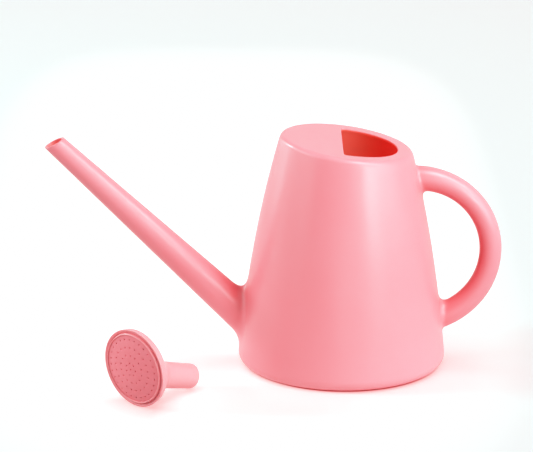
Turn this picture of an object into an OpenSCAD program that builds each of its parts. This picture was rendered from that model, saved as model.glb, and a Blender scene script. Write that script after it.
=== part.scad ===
// Long-spout watering can with a slanted top, a loop handle and a push-on rose.
// The origin is the centre of the base on the ground. +X points to the handle,
// -X to the spout, +Z is up. The can, its spout and its handle are one hollow
// moulding, open at the fill hole and at the end of the spout. The rose is a
// separate head with its own perforated plate. It lies on the ground beside the
// can, resting on its rim and on the lip of its sleeve. Names in _r are radii.

/* [Can] */
// Radius of the wall where it meets the ground, before the edge is rounded
base_r = 82; // [76:0.5:88]
// Linear part of the wall's inward lean, mm per mm of height
wall_lean = 0.0997; // [0.09:0.001:0.11]
// How strongly the lean grows with height, per 1000 mm
wall_curve = 0.256; // [0.2:0.01:0.3]
// Height of the slanted top at the can's axis
top_z = 177.6; // [168:0.5:184]
// Fall of the top towards the handle, degrees
top_tilt = 7.58; // [4:0.1:10]
// Wall thickness of the moulding
wall = 2; // [1.6:0.1:2.6]
// Radius of the rounded edge around the base
base_round = 8.5; // [6:0.25:9.5]
// Depth of the hollow under the base, inside the ring foot
foot_depth = 2.5; // [1.5:0.1:3.5]

/* [Fill hole] */
// Distance of the straight edge from the can's axis, towards the spout
hole_edge = 1.4; // [-4:0.1:6]
// Length of the hole from its straight edge to its rounded end
hole_len = 42.9; // [36:0.1:44]
// Half of the hole's width along the straight edge
hole_half_width = 38; // [28:0.1:39]
// Roundness of the curved side: 2 is an ellipse, more is squarer
hole_power = 2.2; // [2:0.02:2.6]
// Radius of the two corners on the straight edge
hole_corner_r = 3.5; // [2:0.5:6]

/* [Spout] */
// Distance of the spout's root point from the can's axis
spout_root_x = 59.2; // [56:0.1:62]
// Height of the spout's root point
spout_root_z = 20; // [19:0.5:26]
// Distance of the spout's end from the can's axis
spout_tip_x = 223.8; // [200:1:230]
// Height of the spout's end
spout_tip_z = 176; // [160:1:182]
// Outer radius of the spout at its root
spout_root_r = 14.65; // [13:0.05:15]
// Outer radius of the straight end that the rose's sleeve goes over
spout_tip_r = 7.9; // [7.4:0.1:7.9]
// Length of that straight end along the spout
spout_land = 17; // [15:0.5:20]
// Slope of the cut across the spout's end, degrees from level
spout_cut = 27.2; // [22:0.1:32]
// Wall thickness at the spout's end
spout_wall = 1.3; // [1.1:0.1:1.6]

/* [Handle] */
// Distance of the loop's centre from the can's axis
loop_x = 57.8; // [55:0.1:60]
// Height of the loop's centre
loop_z = 91.4; // [88:0.1:94]
// Radius of the loop's centre line
loop_r = 57.7; // [55:0.1:60]
// Radius of the handle's round section
grip_r = 8.8; // [8:0.1:10]

/* [Rose] */
// Position of the sleeve's mouth along X where the rose lies
rose_x = -118.4; // [-124:0.1:-112]
// Position of the sleeve's mouth along Y where the rose lies
rose_y = -65.8; // [-74:0.1:-60]
// Direction in which the sleeve's mouth points, degrees from +X
rose_turn = 46.5; // [35:0.5:55]
// Outer radius of the sleeve at its mouth
sleeve_r = 9.6; // [9.4:0.1:10]
// Bore of the sleeve, a sliding fit on the spout's straight end
sleeve_bore_r = 8; // [8:0.1:8.4]
// Depth of the sleeve's bore
sleeve_depth = 20; // [18:0.5:22]
// Length of the sleeve up to the flare
sleeve_len = 36.5; // [34:0.5:38]
// Outer radius of the head's rim
head_r = 30.2; // [29:0.1:32]
// Width of the rim's side wall
rim_width = 4.65; // [4.2:0.05:5.5]
// Distance from the sleeve's mouth to the head's centre, along the sleeve
head_dist = 65.5; // [62:0.5:68]
// Sideways offset of the head's centre from the sleeve's axis
head_offset = 3.96; // [3:0.1:5]
// Angle between the sleeve and the direction the face points
bend = 20.35; // [16:0.1:24]

/* [Spray plate] */
// Radius of the plate's flange
plate_r = 28.5; // [28:0.1:28.5]
// Thickness of the domed part
plate_thick = 1.5; // [1.3:0.1:1.7]
// Height of the plate's dome
dome_height = 4.6; // [3:0.1:6]
// Radius of the raised ring around the plate
bead_r = 26.85; // [26.5:0.05:27]
// Radius of one spray hole
spray_r = 0.6; // [0.4:0.05:0.8]
// Distance between the rings of holes
spray_step = 6.15; // [5.8:0.05:6.2]
// Holes in the innermost ring; each ring outwards has this many more
spray_count = 7; // [5:1:8]

/* [Hidden] */

pink = [0.94, 0.62, 0.67];
pink_dark = [0.90, 0.52, 0.58];

// ---- Can ----
wall_cubic = 1e-6;      // cubic part of the wall's inward lean
outline_top = 195.2;    // both outlines end here, above the slanted top
floor_z = foot_depth + wall;
foot_r = base_r - 17;   // hollow inside the ring foot
top_wall = wall + 0.3;  // thickness of the slanted top

// Radius of the outer wall at height z
function wall_r(z) = base_r - wall_lean*z - wall_curve*z*z/1000 - z*z*z*wall_cubic;

// Point of the rounded base edge, at an angle from straight down
function edge_point(angle) = [
    base_r - base_round - wall_lean*base_round + base_round*sin(angle),
    base_round*(1 - cos(angle))];

// [radius, height] outlines of the outside and of the space inside
outer_outline = concat(
    [[0, 0]],
    [for (i = [0:7]) edge_point(i*11.5)],
    [for (z = [11:15.35:outline_top]) [wall_r(z), z]],
    [[0, outline_top]]);
inner_outline = concat(
    [[0, floor_z], [wall_r(floor_z) - wall - 3, floor_z]],
    [for (z = [8:15.6:outline_top]) [wall_r(z) - wall, z]],
    [[0, outline_top]]);

// Outline revolved, then cut off parallel to the slanted top, depth below it
module revolved(outline, depth)
    difference() {
        rotate_extrude($fn = 128) polygon(outline);
        translate([0, 0, top_z]) rotate([0, top_tilt, 0])
            translate([-150, -150, -depth]) cube([300, 300, 120]);
    }

// ---- Fill hole ----
hole_end_angle = 76;  // the curved side stops here, short of the corners

// Point of the curved side, a superellipse
function curve_point(angle) = [
    -hole_edge + hole_len*pow(cos(angle), 2/hole_power),
    hole_half_width*sign(sin(angle))*pow(abs(sin(angle)), 2/hole_power)];

// Quarter circle of a corner; side is 1 towards +Y, -1 towards -Y
function corner_points(side, start) = [
    for (angle = [start:15:start + 90])
        [-hole_edge + hole_corner_r + hole_corner_r*cos(angle),
         side*(hole_half_width - hole_corner_r) + hole_corner_r*sin(angle)]];

hole_outline = concat(
    [for (angle = [-hole_end_angle:8:hole_end_angle]) curve_point(angle)],
    corner_points(1, 90),
    corner_points(-1, 180));

// ---- Spout ----
spout_dx = spout_tip_x - spout_root_x;
spout_dz = spout_tip_z - spout_root_z;
spout_len = sqrt(spout_dx*spout_dx + spout_dz*spout_dz);
spout_elevation = atan2(spout_dz, spout_dx);
spout_overlap = 0.01;  // of the taper into the straight end

// Places children on the spout's axis, +Z along the spout
module on_spout(along = 0)
    translate([-spout_root_x, 0, spout_root_z]) rotate([0, spout_elevation - 90, 0])
        translate([0, 0, along]) children();

// Taper, straight end left long for the cut, and flared root
module spout_outside() {
    on_spout()
        cylinder(h = spout_len - spout_land + spout_overlap,
                 r1 = spout_root_r, r2 = spout_tip_r + 0.05, $fn = 96);
    on_spout(spout_len - spout_land)
        cylinder(h = spout_land + 8, r = spout_tip_r, $fn = 96);
    on_spout(8) cylinder(h = 34, r1 = 19, r2 = 13.2, $fn = 96);
}

// ---- Handle ----
// Angles of the loop's ends around its centre, from +X towards +Z
loop_start = -82;
loop_end = 104;
handle_root_r = 14;

// Round bar along the loop, longer by extra degrees at each end
module loop_bar(bar_r, extra = 0)
    translate([loop_x, 0, loop_z]) rotate([90, 0, 0]) rotate([0, 0, loop_start - extra])
        rotate_extrude(angle = loop_end - loop_start + 2*extra, $fn = 128)
            translate([loop_r, 0]) circle(r = bar_r, $fn = 64);

// Cone at an angle on the loop, turned to narrow outwards from the can.
// Its wide end lies inset before that point.
module handle_root(angle, turn, inset, length)
    translate([loop_x + loop_r*cos(angle), 0, loop_z + loop_r*sin(angle)])
        rotate([0, turn, 0]) translate([0, 0, -inset])
            cylinder(h = length, r1 = handle_root_r, r2 = grip_r - 0.4, $fn = 96);

module can_body() {
    color(pink) difference() {
        union() {
            revolved(outer_outline, 0);
            spout_outside();
            loop_bar(grip_r);
            handle_root(angle = 86, turn = 94, inset = 14, length = 28);
            handle_root(angle = -68, turn = 68, inset = 11, length = 24);
        }
        // space inside
        revolved(inner_outline, top_wall);
        // spout's passage
        on_spout(-2)
            cylinder(h = spout_len + 12,
                     r1 = spout_root_r - wall, r2 = spout_tip_r - spout_wall, $fn = 96);
        // hollow of the handle
        loop_bar(grip_r - wall, extra = 2);
        // fill hole
        translate([0, 0, 140]) linear_extrude(60) polygon(hole_outline);
        // slanted cut across the spout's end
        translate([-spout_tip_x, 0, spout_tip_z]) rotate([0, -spout_cut, 0])
            translate([-30, -30, 0]) cube([60, 60, 40]);
        // hollow under the base
        translate([0, 0, -1]) cylinder(h = foot_depth + 1, r = foot_r, $fn = 128);
    }
}

// ---- Rose ----
lip = 0.9;          // chamfer around the sleeve's mouth
neck_r = 10.6;      // end of the sleeve, inside the flare
neck_overlap = 4;   // how far the sleeve runs on into the flare
flare_r = 10.5;     // start of the flare
waterway_r = 6.6;
seat_depth = 3;     // recess that holds the plate's flange
ground_gap = 0.02;  // between the rose and the ground

// Rose at rest: the line through the lowest points of the lip and of the rim
// is level, which fixes the tilt of the sleeve and the height of its mouth
rim_low_dist = head_dist - head_r*sin(bend);
rim_low_offset = head_offset - head_r*cos(bend);
rest_tilt = atan2(-rim_low_offset - sleeve_r, rim_low_dist - lip);
rose_z = sleeve_r*cos(rest_tilt) - lip*sin(rest_tilt) + ground_gap;

// Places children in the sleeve's own frame: origin in its mouth, +Z into the rose
module rose_at()
    translate([rose_x, rose_y, rose_z]) rotate([0, 0, rose_turn])
        rotate([0, rest_tilt - 90, 0]) children();

// Places children on the head: origin at the rim's front, +Z the way it sprays
module head_at()
    translate([head_offset, 0, head_dist]) rotate([0, -bend, 0]) children();

// Hull from a disc on the sleeve's axis to a disc behind the head's front
module flare(start, start_r, depth, end_r)
    hull() {
        translate([0, 0, start]) cylinder(h = 1, r = start_r, $fn = 32);
        head_at() translate([0, 0, -depth]) cylinder(h = 0.8, r = end_r, $fn = 48);
    }

module rose_body() {
    color(pink) rose_at() difference() {
        union() {
            // sleeve
            rotate_extrude($fn = 96) polygon([
                [0, 0], [sleeve_r - lip, 0], [sleeve_r, lip],
                [neck_r, sleeve_len + neck_overlap], [0, sleeve_len + neck_overlap]]);
            flare(sleeve_len, flare_r, rim_width, head_r - 0.9);
            // rim
            head_at() translate([0, 0, -rim_width])
                cylinder(h = rim_width, r1 = head_r - 0.75, r2 = head_r, $fn = 128);
        }
        // bore for the spout
        translate([0, 0, -1]) cylinder(h = sleeve_depth + 1, r = sleeve_bore_r, $fn = 96);
        // waterway
        translate([0, 0, sleeve_depth - 1])
            cylinder(h = sleeve_len - sleeve_depth + 6, r = waterway_r, $fn = 96);
        // chamber behind the plate
        flare(sleeve_len + 2, 8.2, 4.2, 26.4);
        head_at() {
            // front of the chamber, seat for the flange, bevel inside the rim
            translate([0, 0, -3.8]) cylinder(h = 1, r = 26.9, $fn = 128);
            translate([0, 0, -seat_depth])
                cylinder(h = seat_depth + 1, r = plate_r + 0.05, $fn = 128);
            translate([0, 0, -1.1])
                cylinder(h = 1.12, r1 = plate_r + 0.1, r2 = head_r - 0.45, $fn = 128);
        }
    }
}

// ---- Spray plate ----
dome_r = bead_r - 0.7;        // front of the dome
dome_back_r = bead_r - 1.6;   // back of the dome
dome_drop = 0.4;              // of the whole dome behind the rim's front
flange_front = -1.5;
flange_back = -2.95;
ring_insets = [1.3, 1.3, 1.3, 1.4];  // of each ring from a multiple of spray_step

// Front of the dome at radius r
function dome_z(r) = dome_height*(1 - pow(r/bead_r, 2)) - dome_drop;

// [radius, height]: front of the dome, raised ring and flange, back of the dome
plate_outline = concat(
    [for (i = [0:8]) let (r = dome_r*i/8) [r, dome_z(r)]],
    [[bead_r - 0.45, 0], [bead_r + 0.15, 0.1], [bead_r + 0.6, -0.3],
     [bead_r + 0.7, flange_front], [plate_r, flange_front],
     [plate_r, flange_back], [dome_r, flange_back]],
    [for (i = [7:-1:0]) let (r = dome_back_r*i/7) [r, dome_z(r) - plate_thick]]);

module spray_hole(ring_r = 0)
    translate([ring_r, 0, -4]) cylinder(h = 12, r = spray_r, $fn = 24);

module rose_face() {
    color(pink_dark) rose_at() head_at() difference() {
        rotate_extrude($fn = 128) polygon(plate_outline);
        spray_hole();
        // odd rings are turned by half a hole's spacing
        for (ring = [1:4]) for (i = [0:spray_count*ring - 1])
            rotate([0, 0, 360*(i + 0.5*(ring%2))/(spray_count*ring)])
                spray_hole(spray_step*ring - ring_insets[ring - 1]);
    }
}

can_body();
rose_body();
rose_face();
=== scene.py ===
# Pink plastic watering can with its rose (the sprinkler head) taken off.
# The can stands on z = 0 round the Z axis, with the spout towards -X and the loop handle
# towards +X. The rose lies on the floor on the -X, -Y side. The camera looks along +Y.
# Pieces are worked out in millimetres and turned into metres as meshes are built;
# the stage, the lights and the materials are in metres.
import math
from collections import namedtuple

import bmesh
import bpy
import numpy as np
from mathutils import Matrix, Vector
from mathutils.geometry import delaunay_2d_cdt


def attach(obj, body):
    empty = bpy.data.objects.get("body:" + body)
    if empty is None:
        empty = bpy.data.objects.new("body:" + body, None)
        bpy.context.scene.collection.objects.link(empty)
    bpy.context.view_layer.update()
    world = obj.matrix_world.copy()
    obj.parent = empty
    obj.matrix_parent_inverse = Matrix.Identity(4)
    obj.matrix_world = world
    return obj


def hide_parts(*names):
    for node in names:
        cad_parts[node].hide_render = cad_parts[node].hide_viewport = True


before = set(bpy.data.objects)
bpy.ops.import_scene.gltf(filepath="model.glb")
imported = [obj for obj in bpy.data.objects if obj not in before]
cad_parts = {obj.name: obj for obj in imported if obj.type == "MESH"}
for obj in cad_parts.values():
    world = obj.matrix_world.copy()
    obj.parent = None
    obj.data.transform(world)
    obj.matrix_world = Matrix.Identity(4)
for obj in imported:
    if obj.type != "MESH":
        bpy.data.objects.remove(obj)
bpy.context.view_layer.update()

MM = 0.001

# ------------------------------------------------------------ sizes of the can, mm
BASE_RADIUS = 82.0
WALL_LEAN, WALL_CURVE, WALL_CUBE = 0.0997, 0.256e-3, 0.87e-6  # radius lost per z, z^2, z^3
WALL = 2.0
TOP_HEIGHT = 178.8                             # of the top plane on the can's axis
TOP_SLOPE = -math.tan(math.radians(7.58))      # rise of the top plane per mm of x
TOP_THICKNESS = 2.3
BASE_ROUND_HEIGHT, BASE_ROUND_INSET = 9.6, 12.6
FLOOR_ROUND_HEIGHT = 9.0                       # where the inner wall turns into the floor
FOOT_RADIUS, FOOT_DEPTH = 65.0, 2.5            # hollow under the base

# D-shaped fill hole: straight edge towards -X, bowed edge towards +X
HOLE_EDGE_X, HOLE_LENGTH, HOLE_HALF_WIDTH = -1.44, 42.91, 38.1
HOLE_POWER, HOLE_CORNER = 2.2, 3.4             # superellipse power, corner radius
HOLE_CENTRE_X = 17.0
HOLE_LIP = 0.8                                 # radius of the rounded lip

SPOUT_ROOT = np.array([-59.2, 0.0, 20.0])
SPOUT_TIP = np.array([-224.95, 0.0, 176.88])
SPOUT_ROOT_RADIUS, SPOUT_TIP_RADIUS, SPOUT_TIP_WALL = 14.8, 7.9, 1.6
SPOUT_CUT = math.radians(27.2)                 # slant of the cut end from level
SPOUT_RINGS, SPOUT_END_RINGS = 84, 24          # all, and those at the end, whose inner skin takes a paler copy of the pink with a painted glow

# handle: a tube bent round a circle in the XZ plane, angles from +X towards +Z
LOOP_X, LOOP_Z, LOOP_RADIUS = 57.8, 91.6, 57.9
LOOP_TOP, LOOP_BOTTOM = math.radians(118), math.radians(-100)
GRIP_END, GRIP_MID = 9.8, 8.6                  # tube radii
GRIP_MID_ANGLE, GRIP_HALF_ANGLE = math.radians(10), math.radians(82)
HANDLE_RINGS = 76

COLUMNS, ROWS = 256, 76                        # mesh cells round the can and up its wall
CAN_OUTSIDE, CAN_INSIDE, CAN_SPOUT_END = 0, 1, 2  # material slots


# ------------------------------------------------------------ mesh tools
def around(count):
    return 2 * math.pi * np.arange(count) / count


def circle(angles, radius, z):
    return np.column_stack([radius * np.cos(angles), radius * np.sin(angles),
                            np.full_like(angles, z)])


def unit(vectors):
    return vectors / np.linalg.norm(vectors, axis=1)[:, None]


def blend(first, second, share):
    return first * (1 - share) + second * share


def bezier(start, corner, end, steps):
    """Points or rings of a quadratic Bezier, without its start."""
    return [(1 - t) ** 2 * start + 2 * t * (1 - t) * corner + t * t * end
            for t in np.arange(1, steps + 1) / steps]


def bisect(is_past, low, high, count):
    """Where is_past turns true between low and high, for count values at once."""
    low, high = np.full(count, low), np.full(count, high)
    for _ in range(50):
        middle = (low + high) / 2
        past = is_past(middle)
        low, high = np.where(past, low, middle), np.where(past, middle, high)
    return (low + high) / 2


class Skin:
    """Collects points and faces, in mm, and turns them into an object."""

    def __init__(self):
        self.points, self.faces, self.slots, self.count = [], [], [], 0

    def add(self, points):
        """Adds points and returns their indices."""
        points = np.asarray(points, float).reshape(-1, 3)
        indices = np.arange(self.count, self.count + len(points))
        self.points.append(points)
        self.count += len(points)
        return indices

    def face(self, corners, slot):
        self.faces.append(tuple(corners))
        self.slots.append(slot)

    def join(self, rings, slot=0, gaps=None):
        """Joins closed rings with quads, leaving out the cells marked in gaps."""
        for row, (low, high) in enumerate(zip(rings[:-1], rings[1:])):
            for i in range(len(low)):
                if gaps is None or not gaps[row, i]:
                    j = (i + 1) % len(low)
                    self.face((low[i], low[j], high[j], high[i]), slot)

    def disc(self, ring, step, slot):
        """Fills a level ring with triangles about step wide."""
        outline = np.concatenate(self.points)[ring]
        centre = outline.mean(0)
        cx, cy, z = (float(c) for c in centre)
        radius = np.hypot(outline[:, 0] - cx, outline[:, 1] - cy).min() - step
        inner = []
        while radius > step * 0.4:
            count = max(6, int(round(2 * math.pi * radius / step)))
            for k in range(count):
                angle = 2 * math.pi * (k + 0.5 * (len(inner) % 2)) / count
                inner.append((cx + radius * math.cos(angle), cy + radius * math.sin(angle)))
            radius -= step * 0.95
        inner.append((cx, cy))
        size = len(ring)
        flat = [Vector((float(p[0]), float(p[1]))) for p in outline] + [Vector(p) for p in inner]
        edges = [(i, (i + 1) % size) for i in range(size)]
        result = delaunay_2d_cdt(flat, edges, [], 1, 1e-6)
        index_of, new = {}, []
        for i, (place, sources) in enumerate(zip(result[0], result[3])):
            on_ring = [k for k in sources if k < size]
            if on_ring:
                index_of[i] = ring[on_ring[0]]
            else:
                index_of[i] = self.count + len(new)
                new.append((place[0], place[1], z))
        self.add(new)
        for corners in result[2]:
            self.face((index_of[i] for i in corners), slot)

    def build(self, name, materials, frame=None, sharp_angle=None):
        """Makes the object; frame is (axes as columns, origin in mm)."""
        points = np.concatenate(self.points)
        used = np.unique(np.concatenate([np.asarray(f) for f in self.faces]))
        new_index = -np.ones(len(points), int)
        new_index[used] = np.arange(len(used))
        points = points[used]
        if frame is not None:
            points = points @ frame[0].T + frame[1]
        mesh = bpy.data.meshes.new(name)
        faces = [tuple(int(new_index[i]) for i in f) for f in self.faces]
        mesh.from_pydata((points * MM).tolist(), [], faces)
        mesh.update()
        bm = bmesh.new()
        bm.from_mesh(mesh)
        bmesh.ops.recalc_face_normals(bm, faces=bm.faces)
        bm.to_mesh(mesh)
        bm.free()
        for material in materials:
            mesh.materials.append(material)
        mesh.polygons.foreach_set("material_index", np.array(self.slots, np.int32))
        return add_smooth_object(name, mesh, sharp_angle)


def add_smooth_object(name, mesh, sharp_angle=None):
    mesh.polygons.foreach_set("use_smooth", np.ones(len(mesh.polygons), bool))
    if sharp_angle is not None:
        mesh.set_sharp_from_angle(angle=sharp_angle)
    mesh.update()
    return add_object(name, mesh)


def add_object(name, data):
    obj = bpy.data.objects.new(name, data)
    bpy.context.scene.collection.objects.link(obj)
    return obj


# ------------------------------------------------------------ can: wall and top plane
def wall_radius(z):
    return BASE_RADIUS - WALL_LEAN * z - WALL_CURVE * z * z - WALL_CUBE * z ** 3


def wall_slope(z):
    return -WALL_LEAN - 2 * WALL_CURVE * z - 3 * WALL_CUBE * z * z


def wall_points(theta, z, inset):
    return circle(theta, wall_radius(z) - inset, z)


def top_points(plan, drop=0.0):
    """Lifts plan points (x, y) to the top plane, less drop."""
    return np.column_stack([plan, TOP_HEIGHT + TOP_SLOPE * plan[:, 0] - drop])


# ------------------------------------------------------------ can: fill hole
def hole_outline():
    """Dense outline of the fill hole in plan, counter-clockwise."""
    points = []
    end = math.radians(79)
    power = 2 / HOLE_POWER
    for a in np.linspace(-end, end, 600):
        across = np.sign(math.sin(a)) * abs(math.sin(a)) ** power
        points.append((HOLE_EDGE_X + HOLE_LENGTH * math.cos(a) ** power,
                       HOLE_HALF_WIDTH * across))
    straight = HOLE_HALF_WIDTH - HOLE_CORNER
    for side, start in ((1, 90), (-1, 180)):
        for a in np.radians(np.linspace(start, start + 90, 24)):
            points.append((HOLE_EDGE_X + HOLE_CORNER + HOLE_CORNER * math.cos(a),
                           side * straight + HOLE_CORNER * math.sin(a)))
        if side == 1:
            points += [(HOLE_EDGE_X, y) for y in np.linspace(straight, -straight, 120)[1:-1]]
    return np.array(points)


HOLE_OUTLINE = hole_outline()


def hole_at(ray_angles):
    """Outline points and outward normals in plan, where rays from the hole's centre cross it."""
    centre = [HOLE_CENTRE_X, 0]
    arms = HOLE_OUTLINE - centre
    angles = np.arctan2(arms[:, 1], arms[:, 0]) % (2 * math.pi)
    order = np.argsort(angles)
    angles, arms = angles[order], arms[order]
    turns = np.concatenate([angles - 2 * math.pi, angles, angles + 2 * math.pi])
    lengths = np.tile(np.hypot(arms[:, 0], arms[:, 1]), 3)
    radius = np.interp(ray_angles % (2 * math.pi), turns, lengths)
    points = np.stack([HOLE_CENTRE_X + radius * np.cos(ray_angles),
                       radius * np.sin(ray_angles)], 1)
    along = np.roll(points, -1, 0) - np.roll(points, 1, 0)
    normals = unit(np.stack([along[:, 1], -along[:, 0]], 1))
    outward = np.sign((normals * (points - centre)).sum(1))
    return points, normals * outward[:, None]


# ------------------------------------------------------------ can: spout and handle tubes
# A tube gives points from phi, the angle round it, and the distance along it.
SPOUT_LENGTH = float(np.linalg.norm(SPOUT_TIP - SPOUT_ROOT))
SPOUT_AXIS = (SPOUT_TIP - SPOUT_ROOT) / SPOUT_LENGTH
SPOUT_UP = np.array([SPOUT_AXIS[2], 0.0, -SPOUT_AXIS[0]])
Y_AXIS = np.array([0.0, 1.0, 0.0])


def cross_section(phi, radius, up):
    return (radius * np.cos(phi))[:, None] * up + (radius * np.sin(phi))[:, None] * Y_AXIS


def spout_points(phi, along, inset=0.0, shrink=0.0):
    """Points on the outer skin, or on the inner one if inset > 0, where the wall thins
    towards the tip."""
    share = np.clip(along / SPOUT_LENGTH, 0, 1.1)
    radius = SPOUT_ROOT_RADIUS + (SPOUT_TIP_RADIUS - SPOUT_ROOT_RADIUS) * share - shrink
    if inset > 0:
        radius = radius - (WALL + (SPOUT_TIP_WALL - WALL) * share)
    return SPOUT_ROOT + np.outer(along, SPOUT_AXIS) + cross_section(phi, radius, SPOUT_UP)


def spout_cut(phi, inset, shrink, below):
    """Distance along the spout to its slanted cut, shrink inside the skin, below the cut."""
    normal = np.array([-math.sin(SPOUT_CUT), 0.0, math.cos(SPOUT_CUT)])

    def is_past(along):
        return (spout_points(phi, along, inset, shrink) - SPOUT_TIP) @ normal + below > 0

    return bisect(is_past, SPOUT_LENGTH - 25.0, SPOUT_LENGTH + 25.0, len(phi))


def loop_points(phi, angle, inset=0.0):
    share = np.abs(angle - GRIP_MID_ANGLE) / GRIP_HALF_ANGLE
    radius = GRIP_MID + (GRIP_END - GRIP_MID) * share ** 2 - inset
    cos, sin = np.cos(angle), np.sin(angle)
    outward = np.column_stack([cos, 0 * cos, sin])
    centre = np.column_stack([LOOP_X + LOOP_RADIUS * cos, 0 * cos, LOOP_Z + LOOP_RADIUS * sin])
    return centre + cross_section(phi, radius, outward)


def loop_from_top(phi, along, inset):
    return loop_points(phi, LOOP_TOP - along / LOOP_RADIUS, inset)


def loop_from_bottom(phi, along, inset):
    return loop_points(phi, LOOP_BOTTOM + along / LOOP_RADIUS, inset)


# ------------------------------------------------------------ can: roots of the tubes
# Fillet lengths on the outer skin; the inner skin adds its inset.
def spout_fillet(phi):
    """Even on top and at the sides, wider underneath."""
    return 8.3 + 12.8 * np.maximum(0, -np.cos(phi)) ** 1.6


def loop_top_fillet(phi):
    return 4.1 - 1.3 * np.cos(phi)


def loop_bottom_fillet(phi):
    return loop_top_fillet(phi) + 1.4 - 0.9 * np.cos(phi)


# Each root replaces a block of wall cells: its middle column, half width and rows; the step in
# columns that goes towards +Y; whether its edge is followed from the top. Then the tube, a
# distance along it that is surely outside the wall, its fillet and the rings in wall and fillet.
Root = namedtuple("Root", "column half_width low_row high_row step from_top "
                          "tube reach fillet wall_rings fillet_rings")
SPOUT = Root(COLUMNS // 2, 14, 0, 34, -1, True, spout_points, 75.0, spout_fillet, 7, 14)
HANDLE_TOP = Root(0, 12, 58, 75, 1, True, loop_from_top, 62.0, loop_top_fillet, 5, 10)
HANDLE_BOTTOM = Root(0, 9, 3, 26, 1, False, loop_from_bottom, 66.0, loop_bottom_fillet, 6, 12)


def block_edge(root):
    """Columns and rows round a root's block, from the middle of its top or bottom edge
    towards +Y."""
    middle, half, step = root.column, root.half_width, root.step
    first, last = root.low_row, root.high_row
    if root.from_top:
        first, last = last, first
    way = 1 if last > first else -1
    edge = [(middle + step * k, first) for k in range(half + 1)]
    edge += [(middle + step * half, j) for j in range(first + way, last + way, way)]
    edge += [(middle + step * k, last) for k in range(half - 1, -half - 1, -1)]
    edge += [(middle - step * half, j) for j in range(last - way, first - way, -way)]
    edge += [(middle + step * k, first) for k in range(-half + 1, 0)]
    columns, rows = np.array(edge).T
    return columns % COLUMNS, rows


def junction(root, phi, inset):
    """Fillet between tube and wall: its start on the wall, the sharp corner, and the distance
    along the tube where it ends."""
    tube = root.tube

    def is_outside(along):
        p = tube(phi, along, inset)
        return np.hypot(p[:, 0], p[:, 1]) - (wall_radius(p[:, 2]) - inset) > 0

    meet = bisect(is_outside, 0.0, root.reach, len(phi))
    corner = tube(phi, meet, inset)
    radius = np.hypot(corner[:, 0], corner[:, 1])
    wall_normal = unit(np.column_stack([corner[:, 0] / radius, corner[:, 1] / radius,
                                        -wall_slope(corner[:, 2])]))
    along_tube = unit(tube(phi, meet + 0.05, inset) - tube(phi, meet - 0.05, inset))
    round_tube = tube(phi + 1e-3, meet, inset) - tube(phi - 1e-3, meet, inset)
    tube_normal = unit(np.cross(round_tube, along_tube))
    tube_normal *= np.sign((tube_normal * (corner - corner.mean(0))).sum(1))[:, None]
    away = unit(np.cross(np.cross(wall_normal, tube_normal), wall_normal))
    away *= np.sign((away * tube_normal).sum(1))[:, None]
    between = np.arccos(np.clip((away * along_tube).sum(1), -1, 1))
    length = (root.fillet(phi) + inset) / np.tan(between / 2)
    # smooth the lengths round the tube so that the fillet's edge is fair
    for _ in range(6):
        length = (np.roll(length, 1) + 2 * length + np.roll(length, -1)) / 4
    on_wall = corner + away * length[:, None]
    return on_wall, corner, meet + length


def add_root(skin, root, grid, theta, heights, inset, slot):
    """Fills the block round a root and adds its fillet. Returns phi, the distances along the
    tube and the last ring."""
    columns, rows = block_edge(root)
    phi = around(len(columns))
    on_wall, corner, end = junction(root, phi, inset)
    middle = 2 * math.pi * root.column / COLUMNS

    def from_middle(angle):
        return (angle - middle + math.pi) % (2 * math.pi) - math.pi

    edge_angle, edge_z = from_middle(theta[columns]), heights[rows, columns]
    root_angle, root_z = from_middle(np.arctan2(on_wall[:, 1], on_wall[:, 0])), on_wall[:, 2]
    rings = [grid[rows, columns]]
    for k in range(1, root.wall_rings + 1):
        share = (k / root.wall_rings) ** 0.85
        rings.append(skin.add(wall_points(middle + edge_angle + (root_angle - edge_angle) * share,
                                          edge_z + (root_z - edge_z) * share, inset)))
    start = wall_points(np.arctan2(on_wall[:, 1], on_wall[:, 0]), root_z, inset)
    for points in bezier(start, corner, root.tube(phi, end, inset), root.fillet_rings):
        rings.append(skin.add(points))
    skin.join(rings, slot)
    return phi, end, rings[-1]


# ------------------------------------------------------------ can: one skin, outer or inner
def add_spout(skin, root, inset, slot):
    """Tube from its root to the cut; returns phi and the last ring."""
    phi, start, ring = root
    cut = spout_cut(phi, inset, 0.0, 0.45)
    rings = [ring]
    for k in range(1, SPOUT_RINGS + 1):
        rings.append(skin.add(spout_points(phi, start + (cut - start) * (k / SPOUT_RINGS), inset)))
    skin.join(rings[:-SPOUT_END_RINGS], slot)
    # the inner skin's last rings take a paler copy of the pink with a painted glow
    skin.join(rings[-SPOUT_END_RINGS - 1:], CAN_SPOUT_END if slot == CAN_INSIDE else slot)
    return phi, rings[-1]


def add_handle(skin, top_root, bottom_root, inset, slot):
    phi, top_along, top_ring = top_root
    _, bottom_along, bottom_ring = bottom_root
    start, end = LOOP_TOP - top_along / LOOP_RADIUS, LOOP_BOTTOM + bottom_along / LOOP_RADIUS
    rings = [top_ring]
    for k in range(1, HANDLE_RINGS):
        rings.append(skin.add(loop_points(phi, start + (end - start) * (k / HANDLE_RINGS), inset)))
    skin.join(rings + [bottom_ring], slot)


def add_top(skin, wall_ring, low, corner, theta, drop, edge_length, slot):
    """Rounded edge and top plate up to the lip of the fill hole. Returns the lip's ring and
    the hole's outline and normals."""
    inward = unit(np.column_stack([-np.cos(theta), -np.sin(theta), -TOP_SLOPE * np.cos(theta)]))
    inner = corner + inward * edge_length
    rings = [wall_ring] + [skin.add(points) for points in bezier(low, corner, inner, 8)]
    outline, normals = hole_at(np.arctan2(corner[:, 1], corner[:, 0] - HOLE_CENTRE_X))
    start, end = inner[:, :2], outline + normals * HOLE_LIP
    for share in (0.06, 0.2, 0.36, 0.52, 0.68, 0.84, 0.95, 1.0):
        rings.append(skin.add(top_points(start + (end - start) * share, drop)))
    skin.join(rings, slot)
    return rings[-1], outline, normals


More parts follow.
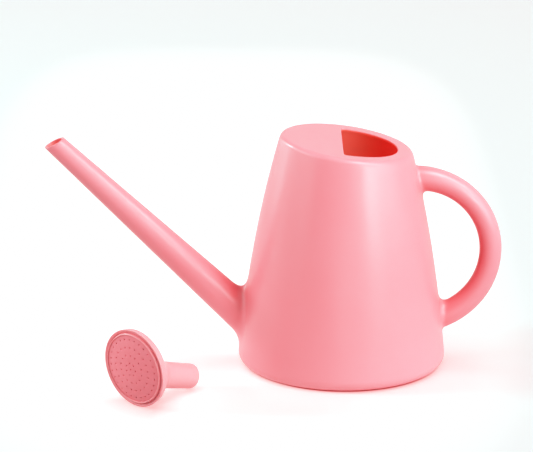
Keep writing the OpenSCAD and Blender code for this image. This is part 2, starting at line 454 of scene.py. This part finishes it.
Shell = namedtuple("Shell", "base_ring lip_ring hole_outline hole_normals phi tip_ring")


def add_shell(skin, inset, wall_start, top_drop, edge_length, slot):
    """Wall, spout, handle and top plate of one skin; returns its open rings."""
    theta = around(COLUMNS)
    corner_z = np.full(COLUMNS, TOP_HEIGHT)
    for _ in range(40):  # settles where the wall meets the sloping top
        x = (wall_radius(corner_z) - inset) * np.cos(theta)
        corner_z = TOP_HEIGHT + TOP_SLOPE * x - top_drop
    corner = wall_points(theta, corner_z, inset)
    wall_end = corner_z - edge_length * np.cos(np.arctan(-wall_slope(corner_z)))
    heights = wall_start + (wall_end - wall_start) * np.arange(ROWS + 1)[:, None] / ROWS
    grid = np.array([skin.add(wall_points(theta, row, inset)) for row in heights])
    gaps = np.zeros((ROWS, COLUMNS), bool)
    for root in (SPOUT, HANDLE_TOP, HANDLE_BOTTOM):
        columns = np.arange(root.column - root.half_width, root.column + root.half_width)
        gaps[root.low_row:root.high_row, columns % COLUMNS] = True
    skin.join(grid, slot, gaps)

    def rooted(root):
        return add_root(skin, root, grid, theta, heights, inset, slot)

    phi, tip_ring = add_spout(skin, rooted(SPOUT), inset, slot)
    add_handle(skin, rooted(HANDLE_TOP), rooted(HANDLE_BOTTOM), inset, slot)
    low = wall_points(theta, wall_end, inset)
    top = add_top(skin, grid[-1], low, corner, theta, top_drop, edge_length, slot)
    return Shell(grid[0], *top, phi, tip_ring)


# ------------------------------------------------------------ can: lips and base
def add_hole_lip(skin, outer, inner):
    def lip_ring(degrees, from_below):
        angle = math.radians(degrees)
        drop = HOLE_LIP * (1 - math.cos(angle))
        plan = outer.hole_outline + outer.hole_normals * HOLE_LIP * (1 - math.sin(angle))
        return skin.add(top_points(plan, TOP_THICKNESS - drop if from_below else drop))

    upper = [outer.lip_ring] + [lip_ring(a, False) for a in (18, 36, 54, 72, 90)]
    skin.join(upper, CAN_OUTSIDE)
    # the hole's own wall takes the inside's darker copy of the pink: painted shade
    lower = [lip_ring(a, True) for a in (90, 67.5, 45, 22.5)]
    skin.join(upper[-1:] + lower + [inner.lip_ring], CAN_INSIDE)


def add_spout_lip(skin, outer, inner):
    # distance in from the outer skin, distance below the cut
    half = [(0.03, 0.2), (0.13, 0.06), (0.32, 0.0)]
    profile = half + [(SPOUT_TIP_WALL - depth, below) for depth, below in reversed(half)]
    rings = [outer.tip_ring]
    for depth, below in profile:
        along = spout_cut(outer.phi, 0.0, depth, below)
        rings.append(skin.add(spout_points(outer.phi, along, 0.0, depth)))
    skin.join(rings + [inner.tip_ring], CAN_OUTSIDE)


def add_bottom(skin, first_ring, profile, disc_step, slot):
    """Rings of the (radius, z) profile from first_ring inwards, closed with a disc."""
    theta = around(COLUMNS)
    rings = [first_ring] + [skin.add(circle(theta, radius, z)) for radius, z in profile]
    skin.join(rings, slot)
    skin.disc(rings[-1], disc_step, slot)


def add_base(skin, first_ring):
    """Rounded edge, standing ring and the hollow inside it."""
    edge = bezier(np.array([wall_radius(BASE_ROUND_HEIGHT), BASE_ROUND_HEIGHT]),
                  np.array([BASE_RADIUS, 0.0]),
                  np.array([BASE_RADIUS - BASE_ROUND_INSET, 0.0]), 18)
    # offset from the hollow's radius, z
    hollow = [(3.5, 0.0), (1.0, 0.0), (0.35, 0.15), (0.0, 0.7), (-0.35, 1.8), (-1.0, 2.35),
              (-2.2, FOOT_DEPTH), (-8, FOOT_DEPTH)]
    profile = edge + [(FOOT_RADIUS + offset, z) for offset, z in hollow]
    add_bottom(skin, first_ring, profile, 7.0, CAN_OUTSIDE)


def add_floor(skin, first_ring):
    """Floor inside the can."""
    radius, z = wall_radius(FLOOR_ROUND_HEIGHT) - WALL, FOOT_DEPTH + WALL
    profile = bezier(np.array([radius, FLOOR_ROUND_HEIGHT]), np.array([radius + 0.7, z]),
                     np.array([radius - 7.0, z]), 10)
    add_bottom(skin, first_ring, profile + [(radius - 14, z)], 8.0, CAN_INSIDE)


def make_can():
    skin = Skin()
    outer = add_shell(skin, inset=0.0, wall_start=BASE_ROUND_HEIGHT, top_drop=0.0,
                      edge_length=4.4, slot=CAN_OUTSIDE)
    inner = add_shell(skin, inset=WALL, wall_start=FLOOR_ROUND_HEIGHT, top_drop=TOP_THICKNESS,
                      edge_length=3.0, slot=CAN_INSIDE)
    add_hole_lip(skin, outer, inner)
    add_spout_lip(skin, outer, inner)
    add_base(skin, outer.base_ring)
    add_floor(skin, inner.base_ring)
    return skin


# ------------------------------------------------------------ sizes of the rose, mm
ROSE_X, ROSE_Y, ROSE_TURN = -118.4, -65.8, math.radians(46.5)  # mouth of the sleeve
SLEEVE_RADIUS, SLEEVE_LENGTH, NECK_RADIUS = 9.6, 36.5, 10.6
BORE_RADIUS, BORE_DEPTH, WATERWAY_RADIUS = 8.0, 20.0, 6.6
MOUTH_ROUND = 0.9                              # where the mouth's rounding meets the floor
HEAD_RADIUS, RIM_DEPTH = 30.8, 5.1
HEAD_ALONG, HEAD_UP, BEND = 65.5, 3.96, math.radians(20.35)    # head's centre and tilt
PLATE_RADIUS, PLATE_THICKNESS = 28.5, 1.5
DOME_HEIGHT, BEAD_RADIUS, SPRAY_RADIUS = 2.9, 27.2, 0.52
FLOOR_GAP = 0.02

# The rose rests on its sleeve's mouth and on the lowest point of its rim.
_rim_along = HEAD_ALONG - HEAD_RADIUS * math.sin(BEND)
_rim_up = HEAD_UP - HEAD_RADIUS * math.cos(BEND)
TILT = math.atan2(-_rim_up - SLEEVE_RADIUS, _rim_along - MOUTH_ROUND)
ROSE_Z = SLEEVE_RADIUS * math.cos(TILT) - MOUTH_ROUND * math.sin(TILT) + FLOOR_GAP
_heading = np.array([math.cos(ROSE_TURN), math.sin(ROSE_TURN), 0.0])
_vertical = np.array([0.0, 0.0, 1.0])
ROSE_ALONG = -math.cos(TILT) * _heading + math.sin(TILT) * _vertical
ROSE_UP = math.sin(TILT) * _heading + math.cos(TILT) * _vertical
ROSE_SIDE = np.cross(ROSE_ALONG, ROSE_UP)
# frames: axes as columns, origin; z runs along the sleeve, or out of the head's face
ROSE_FRAME = (np.column_stack([ROSE_UP, ROSE_SIDE, ROSE_ALONG]),
              np.array([ROSE_X, ROSE_Y, ROSE_Z]))
HEAD_FRAME = (np.column_stack([math.sin(BEND) * ROSE_ALONG + math.cos(BEND) * ROSE_UP,
                               ROSE_SIDE,
                               math.cos(BEND) * ROSE_ALONG - math.sin(BEND) * ROSE_UP]),
              ROSE_FRAME[1] + HEAD_ALONG * ROSE_ALONG + HEAD_UP * ROSE_UP)


# ------------------------------------------------------------ rose body
ROSE_ANGLES = around(160)


def sleeve(radius, along):
    return circle(ROSE_ANGLES, radius, along)


def head(radius, z):
    """Ring in the head's frame, given in the sleeve's."""
    x, y, _ = circle(ROSE_ANGLES, radius, z).T
    cos, sin = math.cos(BEND), math.sin(BEND)
    return np.column_stack([HEAD_UP + x * cos - z * sin, y, HEAD_ALONG + z * cos + x * sin])


def sleeve_radius(along):
    return SLEEVE_RADIUS + (NECK_RADIUS - SLEEVE_RADIUS) * along / (SLEEVE_LENGTH + 4)


def rose_outside():
    """Rings from the sleeve's mouth over the flare and the rim to the plate's seat."""
    # (radius less the sleeve's, along): rounded mouth
    mouth = [(-1.0, 0.0), (-0.62, 0.08), (-0.27, 0.30), (-0.07, 0.62), (0.0, 1.0)]
    rings = [sleeve(BORE_RADIUS + 0.25, 0.0)]
    rings += [sleeve(SLEEVE_RADIUS + offset, along) for offset, along in mouth]
    rings += [sleeve(sleeve_radius(along), along)
              for along in np.linspace(2.2, SLEEVE_LENGTH - 5.0, 20)]
    # fillet from the sleeve into the flare, the flare, and a fillet into the rim's side
    neck = sleeve(sleeve_radius(SLEEVE_LENGTH), SLEEVE_LENGTH)
    rim_back = head(HEAD_RADIUS - 0.75, -RIM_DEPTH)
    flare_start, flare_end = blend(neck, rim_back, 0.26), blend(neck, rim_back, 0.97)
    rings += bezier(rings[-1], neck, flare_start, 8)
    rings += [blend(flare_start, flare_end, share) for share in np.linspace(0, 1, 14)[1:]]
    rings += bezier(flare_end, rim_back, head(HEAD_RADIUS - 0.75 + 0.09, -RIM_DEPTH + 0.6), 5)
    # (radius less the head's, z): side and front edge of the rim
    rim = [(-0.38, -RIM_DEPTH + 2.4), (-0.12, -0.75), (-0.03, -0.38), (-0.10, -0.14),
           (-0.26, -0.03), (-0.45, 0.0), (-0.62, -0.07)]
    rings += [head(HEAD_RADIUS + offset, z) for offset, z in rim]
    # (radius less the plate's, z): inner chamfer of the rim and seat of the plate
    seat = [(0.62, -0.42), (0.26, -0.66), (0.06, -0.95), (0.05, -2.9), (0.05, -3.0), (-0.1, -3.0)]
    rings += [head(PLATE_RADIUS + offset, z) for offset, z in seat]
    return rings + [head(27.1, -3.0), head(26.9, -3.05), head(26.9, -3.5)]


def rose_inside():
    """Rings of the chamber, then the waterway and the bore back to the mouth."""
    chamber_front, chamber_back = head(26.4, -4.0), sleeve(8.2, SLEEVE_LENGTH + 2.4)
    rings = [blend(chamber_front, chamber_back, share) for share in np.linspace(0, 1, 14)]
    # radius, along
    bore = [(7.1, SLEEVE_LENGTH + 1.6), (WATERWAY_RADIUS, SLEEVE_LENGTH + 0.2),
            (WATERWAY_RADIUS, SLEEVE_LENGTH - 6), (WATERWAY_RADIUS, BORE_DEPTH + 0.1),
            (WATERWAY_RADIUS + 0.1, BORE_DEPTH), (BORE_RADIUS - 0.1, BORE_DEPTH),
            (BORE_RADIUS, BORE_DEPTH - 0.1), (BORE_RADIUS, 15.0), (BORE_RADIUS, 10.0),
            (BORE_RADIUS, 5.0), (BORE_RADIUS, 1.6), (BORE_RADIUS + 0.03, 0.75),
            (BORE_RADIUS + 0.1, 0.25)]
    return rings + [sleeve(radius, along) for radius, along in bore]


def make_rose_body():
    skin = Skin()
    outside = [skin.add(ring) for ring in rose_outside()]
    inside = [skin.add(ring) for ring in rose_inside()]
    skin.join(outside + inside[:1], 0)
    # chamber, waterway and bore take the inside copy: painted shade with a painted glow
    skin.join(inside + outside[:1], 1)
    return skin


# ------------------------------------------------------------ spray plate
PLATE_ANGLES = around(168)
SPRAY_ANGLES = around(14)
SPRAY_BEVEL = 0.16
# holes in the circle, its radius, turn as a share of the pitch; one more hole is central
SPRAY_CIRCLES = [(7, 4.85, 0.2), (14, 11.0, 0.0), (21, 17.15, 0.15), (28, 23.2, 0.35)]


def dome_points(plan, shift):
    """Lifts plan points to the dome, moved by shift."""
    return [(x, y, DOME_HEIGHT * (1 - (math.hypot(x, y) / BEAD_RADIUS) ** 2) + 0.3 + shift)
            for x, y in plan]


def spray_centres():
    centres = [(0.0, 0.0)]
    for count, radius, turn in SPRAY_CIRCLES:
        for i in range(count):
            angle = 2 * math.pi * (i + turn) / count
            centres.append((radius * math.cos(angle), radius * math.sin(angle)))
    return centres


def plan_circle(centre, radius, angles):
    return [(centre[0] + radius * math.cos(a), centre[1] + radius * math.sin(a)) for a in angles]


def add_dome_sheet(skin, centres, edge_radius, hole_radius, shift):
    """One triangulated face of the dome, open at each hole; returns its edge and hole loops."""
    hole_sides = len(SPRAY_ANGLES)
    plan = plan_circle((0.0, 0.0), edge_radius, PLATE_ANGLES)
    loops = [list(range(len(plan)))]
    for centre in centres:
        loops.append(list(range(len(plan), len(plan) + hole_sides)))
        plan += plan_circle(centre, hole_radius, SPRAY_ANGLES)
    hole_x, hole_y = np.array(centres).T

    def nearest_hole(x, y):
        return np.min(np.hypot(hole_x - x, hole_y - y))

    # triangular lattice between the loops
    step = 1.55
    rows = int(edge_radius / (step * 0.866)) + 1
    for j in range(-rows, rows + 1):
        for i in range(-rows - 4, rows + 5):
            x, y = (i + 0.5 * (j % 2)) * step, j * step * 0.866
            if math.hypot(x, y) <= edge_radius - 0.75 and nearest_hole(x, y) >= hole_radius + 0.55:
                plan.append((x, y))
    edges = [(loop[k - 1], loop[k]) for loop in loops for k in [*range(1, len(loop)), 0]]
    result = delaunay_2d_cdt([Vector(p) for p in plan], edges, [], 0, 1e-7)
    places, triangles, sources = result[0], result[2], result[3]
    indices = skin.add(dome_points(places, shift))
    index_of = {k: indices[i] for i, group in enumerate(sources) for k in group}
    for corners in triangles:
        x = sum(places[i][0] for i in corners) / len(corners)
        y = sum(places[i][1] for i in corners) / len(corners)
        in_hole = nearest_hole(x, y) < hole_radius * math.cos(math.pi / hole_sides) - 1e-6
        if math.hypot(x, y) <= edge_radius and not in_hole:
            skin.face((indices[i] for i in corners), 0)
    return [[index_of[k] for k in loop] for loop in loops]


def make_spray_plate():
    """Domed plate with drilled holes, a bead and a flange, in the head's frame."""
    skin = Skin()
    centres = spray_centres()
    top = add_dome_sheet(skin, centres, BEAD_RADIUS - 0.75, SPRAY_RADIUS + SPRAY_BEVEL, 0.0)
    bottom = add_dome_sheet(skin, centres, BEAD_RADIUS - 1.6, SPRAY_RADIUS, -PLATE_THICKNESS)
    for centre, upper, lower in zip(centres, top[1:], bottom[1:]):
        bore = [skin.add(dome_points(plan_circle(centre, radius, SPRAY_ANGLES), shift))
                for radius, shift in ((SPRAY_RADIUS + 0.05, -0.06), (SPRAY_RADIUS, -0.2))]
        skin.join([upper, *bore, lower], 0)
    # (radius less the base's, z) from the dome's edge over the bead and round the flange
    bead = [(-0.66, 0.66), (-0.55, 0.88), (-0.36, 1.08), (-0.08, 1.16), (0.20, 1.08),
            (0.42, 0.85), (0.54, 0.40), (0.60, -0.40), (0.68, -0.80), (0.85, -0.93),
            (1.1, -0.95)]
    flange = [(-0.15, -0.95), (0.0, -1.1), (0.0, -2.8), (-0.15, -2.95)]
    underside = [(-0.4, -2.95), (-0.8, -2.9), (-1.25, -2.4)]
    rings = [top[0]]
    for base, profile in ((BEAD_RADIUS, bead), (PLATE_RADIUS, flange), (BEAD_RADIUS, underside)):
        rings += [skin.add(circle(PLATE_ANGLES, base + offset, z)) for offset, z in profile]
    rings.append(bottom[0])
    skin.join(rings[:2], 0)
    # the bead takes the rose's paler pink: a painted highlight along it
    skin.join(rings[1:8], 1)
    skin.join(rings[7:], 0)
    return skin


# ------------------------------------------------------------ material tools
def feed(tree, node, inputs):
    """Sets inputs by name or place; a socket is linked, anything else is the value."""
    for key, value in inputs.items():
        if isinstance(value, bpy.types.NodeSocket):
            tree.links.new(value, node.inputs[key])
        else:
            node.inputs[key].default_value = value


def add_node(tree, kind, inputs, **settings):
    node = tree.nodes.new("ShaderNode" + kind)
    for name, value in settings.items():
        setattr(node, name, value)
    feed(tree, node, inputs)
    return node


def map_range(tree, value, from_range, to_range, **settings):
    return add_node(tree, "MapRange", {
        "Value": value, "From Min": from_range[0], "From Max": from_range[1],
        "To Min": to_range[0], "To Max": to_range[1]}, **settings).outputs["Result"]


def mix_colour(tree, factor, first, second, **settings):
    return add_node(tree, "Mix", {0: factor, 6: first, 7: second},
                    data_type="RGBA", **settings).outputs[2]


def colour_ramp(tree, factor, stops):
    """stops: (position, colour), in order."""
    node = add_node(tree, "ValToRGB", {"Fac": factor})
    elements = node.color_ramp.elements
    for i in (0, -1):
        elements[i].position, elements[i].color = stops[i][0], (*stops[i][1], 1)
    for position, colour in stops[1:-1]:
        elements.new(position).color = (*colour, 1)
    return node.outputs["Color"]


def new_material(name):
    """Returns the material, its tree, its main shader and its object coordinates."""
    material = bpy.data.materials.new(name)
    material.use_nodes = True
    tree = material.node_tree
    place = tree.nodes.new("ShaderNodeTexCoord").outputs["Object"]
    return material, tree, tree.nodes["Principled BSDF"], place


def x_of(tree, place):
    return add_node(tree, "SeparateXYZ", {"Vector": place}).outputs["X"]


# ------------------------------------------------------------ plastics
def plastic(name, deep, pale, rough, scale=1.0, reach=(0.12, 0.12), painted_crease_shade=(0.80, 0.42, 0.42),
            emission=None, strength=1.0):
    """Satin plastic: two close tints mixed by soft noise, with a fine grain. Painted shade: where
    ambient occlusion finds parts closing in, the base colour is multiplied towards the crease tint;
    reach is how far that is felt at x = -0.05 and x = 0.05 m."""
    material, tree, shader, place = new_material(name)

    def noise(size, detail, roughness):
        return add_node(tree, "TexNoise", {"Vector": place, "Scale": size * scale, "Detail": detail,
                                           "Roughness": roughness}).outputs["Fac"]

    tint_noise, grain, gloss_noise = noise(18.0, 3.0, 0.5), noise(900.0, 2.0, 0.6), noise(60.0, 4.0, 0.6)
    tint = colour_ramp(tree, tint_noise, [(0.35, deep), (0.65, pale)])
    # painted shade: ambient occlusion darkens the base colour towards the crease tint where parts close
    # in
    distance = map_range(tree, x_of(tree, place), (-0.05, 0.05), reach)
    occlusion = add_node(tree, "AmbientOcclusion", {"Distance": distance, "Color": tint},
                         samples=12, only_local=True).outputs["AO"]
    openness = map_range(tree, occlusion, (0.38, 0.94), (0.0, 1.0))
    shade = mix_colour(tree, openness, (*painted_crease_shade, 1), (1, 1, 1, 1))
    bump = add_node(tree, "Bump", {"Strength": 0.35, "Distance": 0.00004, "Height": grain})
    feed(tree, shader, {
        "Base Color": mix_colour(tree, 1.0, tint, shade, blend_type="MULTIPLY"),
        "Roughness": map_range(tree, gloss_noise, (0.3, 0.7), (rough - 0.02, rough + 0.03)),
        "Normal": bump.outputs["Normal"],
        "IOR": 1.49,
        "Subsurface Weight": 0.10,
        "Subsurface Radius": (1.0, 0.35, 0.35),
        "Subsurface Scale": 0.004,
    })
    # an emission, where given, is painted light: a glow on a part that is no lamp
    if emission:
        feed(tree, shader, {"Emission Color": (*emission, 1), "Emission Strength": strength})
    return material


def add_painted_inside_glow(material):
    """Painted light on the inside skin: an emission, paler towards the spout."""
    tree = material.node_tree
    place = tree.nodes.new("ShaderNodeTexCoord").outputs["Object"]
    across = map_range(tree, x_of(tree, place), (0.003, 0.042), (0.0, 1.0))
    glow = colour_ramp(tree, across, [
        (0.0, (0.135, 0.062, 0.043)), (0.25, (0.125, 0.040, 0.026)),
        (0.45, (0.110, 0.022, 0.014)), (0.72, (0.100, 0.007, 0.005)),
        (1.0, (0.095, 0.001, 0.001))])
    feed(tree, tree.nodes["Principled BSDF"], {"Emission Color": glow, "Emission Strength": 1.0})


can_pink = plastic("pink_plastic", deep=(0.915, 0.245, 0.280), pale=(0.92, 0.255, 0.290),
                   rough=0.31, reach=(0.035, 0.10))
# inside of the can: a darker, redder copy of the same pink as painted shade, and a painted glow added
# below
can_inside_painted = plastic("pink_plastic_inside_painted", deep=(0.88, 0.07, 0.055), pale=(0.89, 0.075, 0.06),
                     rough=0.42, painted_crease_shade=(1, 1, 1))
add_painted_inside_glow(can_inside_painted)
rose_pink = plastic("pink_plastic_rose", deep=(0.92, 0.285, 0.31), pale=(0.925, 0.295, 0.32),
                    rough=0.32, scale=2.0, reach=(0.01, 0.01), painted_crease_shade=(0.9, 0.5, 0.5))
# spray plate: a darker copy of the rose's pink, as painted shade on its face
plate_pink_shaded = plastic("pink_plastic_plate_shaded", deep=(0.87, 0.21, 0.245), pale=(0.875, 0.22, 0.255),
                     rough=0.40, scale=2.0, reach=(0.01, 0.01), painted_crease_shade=(0.9, 0.6, 0.6))
# inside of the rose: a darker, redder copy of the pink as painted shade, with a painted glow
rose_inside_painted = plastic("pink_plastic_rose_inside_painted", deep=(0.93, 0.12, 0.09),
                      pale=(0.94, 0.13, 0.10), rough=0.42,
                      emission=(0.40, 0.045, 0.05), strength=0.8)
# inside of the spout's end: a paler copy of the pink with a painted glow, painted light at the tip
spout_end_painted = plastic("pink_plastic_spout_end", deep=(0.92, 0.22, 0.215),
                    pale=(0.925, 0.23, 0.225), rough=0.40, scale=2.0, painted_crease_shade=(0.92, 0.8, 0.8),
                    emission=(0.11, 0.022, 0.022))

# ------------------------------------------------------------ the three pieces
SHARP = math.radians(50)
can = make_can().build("can", [can_pink, can_inside_painted, spout_end_painted])
rose = make_rose_body().build("rose", [rose_pink, rose_inside_painted], ROSE_FRAME, SHARP)
plate = make_spray_plate().build("spray_plate", [plate_pink_shaded, rose_pink], HEAD_FRAME, SHARP)
for piece, body, node_name, slot_name in (
        (can, "can", "can_body", "can_plastic"),
        (rose, "rose", "rose_body", "rose_plastic"),
        (plate, "spray_plate", "rose_face", "spray_plate_plastic")):
    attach(piece, body)
    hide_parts(node_name)

# ------------------------------------------------------------ backdrop, m
POOL_CENTRE, POOL_HALF_SIZE = (-0.08, 0.36), (0.228, 0.62)  # pool of light on the paper
SEEN_OUTSIDE, SEEN_INSIDE = (0.505, 0.335, 0.338, 1), (1.10, 0.45, 0.45, 1)
CAST_OUTSIDE, CAST_INSIDE = (0.08, 0.08, 0.08, 1), (0.25, 0.25, 0.25, 1)
DIFFUSE_SHARE, GLOSSY_SHARE = 0.62, 0.85  # of the paper's light that such rays meet
FOOT_GLOW = 3.2                           # extra glow cast beside the can's foot
# contact shadow under the can: real shade plus a painted dim red glow
UNDER_CAN_SHADOW = (0.10, 0.004, 0.005, 1)


def paper_material():
    """Pale paper that glows in a pool round the object."""
    material, tree, shader, place = new_material("paper")

    def maths(operation, first, second):
        return add_node(tree, "Math", {0: first, 1: second}, operation=operation).outputs[0]

    def multiply(first, second):
        return add_node(tree, "VectorMath", {0: first, 1: second},
                        operation="MULTIPLY").outputs["Vector"]

    def length(vector):
        return add_node(tree, "VectorMath", {0: vector}, operation="LENGTH").outputs["Value"]

    def smooth(value, from_range, to_range):
        return map_range(tree, value, from_range, to_range, interpolation_type="SMOOTHSTEP")

    def mix_shader(factor, first, second):
        return add_node(tree, "MixShader", {0: factor, 1: first, 2: second}).outputs[0]

    noise = add_node(tree, "TexNoise", {"Scale": 1.2, "Detail": 1.0, "Vector": place})
    paper = colour_ramp(tree, noise.outputs["Fac"],
                        [(0.3, (0.765, 0.80, 0.79)), (0.7, (0.77, 0.80, 0.79))])
    rays = tree.nodes.new("ShaderNodeLightPath").outputs
    diffuse = rays["Is Diffuse Ray"]

    # pool of light; less of it is cast on the object than the camera sees
    (cx, cy), (half_x, half_y) = POOL_CENTRE, POOL_HALF_SIZE
    in_pool = add_node(tree, "Mapping", {
        "Vector": place, "Scale": (1 / half_x, 1 / half_y, 0.0),
        "Location": (-cx / half_x, -cy / half_y, 0.0)}, vector_type="POINT").outputs["Vector"]
    pool = smooth(length(multiply(in_pool, in_pool)), (0.80, 1.17), (1.0, 0.0))
    seen = mix_colour(tree, pool, SEEN_OUTSIDE, SEEN_INSIDE)
    cast = mix_colour(tree, pool, CAST_OUTSIDE, CAST_INSIDE)
    glow = mix_colour(tree, diffuse, seen, cast)

    # under the can the glow drops to a dim red, so real shade shows there with a painted red glow in it;
    # and more glow cast right beside its foot
    from_axis = length(multiply(place, (1, 1, 0)))
    beyond_can = smooth(from_axis, (0.0746, 0.0784), (0.0, 1.0))
    near_foot = maths("MULTIPLY", smooth(from_axis, (0.10, 0.18), (FOOT_GLOW, 0.0)), diffuse)
    feed(tree, shader, {
        "Base Color": paper,
        "Roughness": 0.7,
        "Specular IOR Level": 0.1,
        "Emission Color": mix_colour(tree, beyond_can, UNDER_CAN_SHADOW, glow),
        "Emission Strength": maths("ADD", near_foot, 1.0),
    })
    dark = add_node(tree, "BsdfDiffuse", {"Color": (0, 0, 0, 1)})
    dimming = maths("ADD", maths("MULTIPLY", diffuse, 1 - DIFFUSE_SHARE),
                    maths("MULTIPLY", rays["Is Glossy Ray"], 1 - GLOSSY_SHARE))
    dimmed = mix_shader(dimming, shader.outputs[0], dark.outputs[0])

    # the sweep's back and underside let the camera through
    behind = tree.nodes.new("ShaderNodeNewGeometry").outputs["Backfacing"]
    clear = tree.nodes.new("ShaderNodeBsdfTransparent").outputs[0]
    surface = mix_shader(maths("MULTIPLY", behind, rays["Is Camera Ray"]), dimmed, clear)
    feed(tree, tree.nodes["Material Output"], {"Surface": surface})
    return material


def make_sweep():
    """Seamless floor that curves up on the far side (+Y) of the object."""
    bend_start, bend_radius, wall_top = 1.4, 1.6, 5.0
    profile = [(y, 0.0) for y in (-4.0, -1.2, -0.3, 0.6, bend_start)]
    for k in range(1, 25):
        angle = math.pi / 2 * k / 24
        profile.append((bend_start + bend_radius * math.sin(angle),
                        bend_radius - bend_radius * math.cos(angle)))
    profile.append((bend_start + bend_radius, wall_top))
    across = np.linspace(-5.0, 5.0, 21)
    width = len(across)
    points = [(float(x), y, z) for y, z in profile for x in across]
    faces = [(j * width + i, j * width + i + 1, (j + 1) * width + i + 1, (j + 1) * width + i)
             for j in range(len(profile) - 1) for i in range(width - 1)]
    mesh = bpy.data.meshes.new("sweep")
    mesh.from_pydata(points, [], faces)
    obj = add_smooth_object("sweep", mesh)
    mesh.materials.append(paper_material())
    return obj


sweep = make_sweep()


# ------------------------------------------------------------ lights, m and W
def lit_group(name, objects):
    group = bpy.data.collections.new(name)
    for obj in objects:
        group.objects.link(obj)
    return group


lit_object = lit_group("lit_object", (can, rose, plate))
lit_sweep = lit_group("lit_sweep", (sweep,))


def softbox(name, place, target, size, power, receivers):
    """Square area light at place, facing target, that lights the receivers only."""
    light = bpy.data.lights.new(name, "AREA")
    light.shape = "RECTANGLE"
    light.size = light.size_y = size
    light.energy = power
    light.spread = math.pi
    obj = add_object(name, light)
    aim = (Vector(target) - Vector(place)).to_track_quat("-Z", "Y").to_matrix().to_4x4()
    obj.matrix_world = Matrix.Translation(Vector(place)) @ aim
    obj.light_linking.receiver_collection = receivers


# One soft source split over a dome: strongest from +X and above, with a rim light from
# behind on the -X side. Azimuth from -Y towards +X and elevation in degrees, power, size.
PANELS = [
    (-128, 5, 10.0, 1.2), (-119, 29, 14.0, 0.26), (-105, 3, 7.5, 0.9), (-80, 14, 3.4, 0.62),
    (-60, 14, 3.6, 0.62), (20, 14, 3.0, 0.62), (40, 14, 16.0, 0.62), (60, 14, 7.4, 0.62),
    (80, 14, 5.2, 0.62), (-80, 40, 15.0, 1.0), (40, 40, 6.4, 0.62), (70, 40, 14.1, 0.62),
    (60, 64, 22.5, 0.62), (0, -5, 4.0, 0.62),
]
DOME_CENTRE, DOME_RADIUS = np.array([0.0, 0.0, 0.09]), 1.9


def direction(azimuth, elevation):
    return np.array([math.sin(azimuth) * math.cos(elevation),
                     -math.cos(azimuth) * math.cos(elevation), math.sin(elevation)])


for k, (azimuth, elevation, power, size) in enumerate(PANELS):
    way = direction(math.radians(azimuth), math.radians(elevation))
    softbox("panel_%d" % k, DOME_CENTRE + way * DOME_RADIUS, DOME_CENTRE, size, power, lit_object)
softbox("overhead", (0.0, 0.4, 3.2), (0.0, 0.4, 0.0), 3.0, 80, lit_sweep)
softbox("from_left", (-1.9, 0.0, 0.55), (0.0, 0.0, 0.0), 0.5, 21, lit_sweep)

world = bpy.data.worlds.new("studio")
world.use_nodes = True
feed(world.node_tree, world.node_tree.nodes["Background"],
     {"Color": (0.94, 0.97, 1.0, 1), "Strength": 0.02})
bpy.context.scene.world = world

# ------------------------------------------------------------ camera
ELEVATION, AZIMUTH, ROLL = math.radians(17.052), math.radians(-0.779), math.radians(0.455)
LENS, SENSOR_WIDTH = 240.672293, 36
# the origin as the camera has it, mm: distance in depth, offsets right and up of the view axis
DISTANCE, ORIGIN_RIGHT, ORIGIN_UP = 2815.527, 58.967226, -105.416124


def add_camera():
    back = direction(AZIMUTH, ELEVATION)
    level = np.array([math.cos(AZIMUTH), math.sin(AZIMUTH), 0.0])
    upright = np.cross(back, level)
    right = math.cos(ROLL) * level + math.sin(ROLL) * upright
    up = -math.sin(ROLL) * level + math.cos(ROLL) * upright
    place = -(ORIGIN_RIGHT * right + ORIGIN_UP * up - DISTANCE * back) * MM
    camera = bpy.data.cameras.new("camera")
    camera.lens, camera.sensor_width, camera.sensor_fit = LENS, SENSOR_WIDTH, "HORIZONTAL"
    camera.clip_start, camera.clip_end = 0.1, 50
    obj = add_object("camera", camera)
    rows = np.column_stack([right, up, back, place]).tolist()
    obj.matrix_world = Matrix(rows + [[0, 0, 0, 1]])
    bpy.context.scene.camera = obj


add_camera()


# ------------------------------------------------------------ view
def set_view():
    view = bpy.context.scene.view_settings
    view.view_transform = "Standard"
    view.look = "None"
    view.exposure, view.gamma = 0.0, 1.0
    # a soft shoulder for red, which is close to white all over the object
    view.use_curve_mapping = True
    mapping = view.curve_mapping
    mapping.use_clip = False
    mapping.extend = "HORIZONTAL"
    for curve, end in zip(mapping.curves, ((2.0, 1.0), (1.0, 1.0), (1.0, 1.0))):
        curve.points[0].location, curve.points[1].location = (0.0, 0.0), end
    for level, shown in ((0.375, 0.375), (0.75, 0.745), (1.0, 0.875), (1.275, 0.95), (1.6, 0.99)):
        mapping.curves[0].points.new(level, shown)
    mapping.update()


set_view()
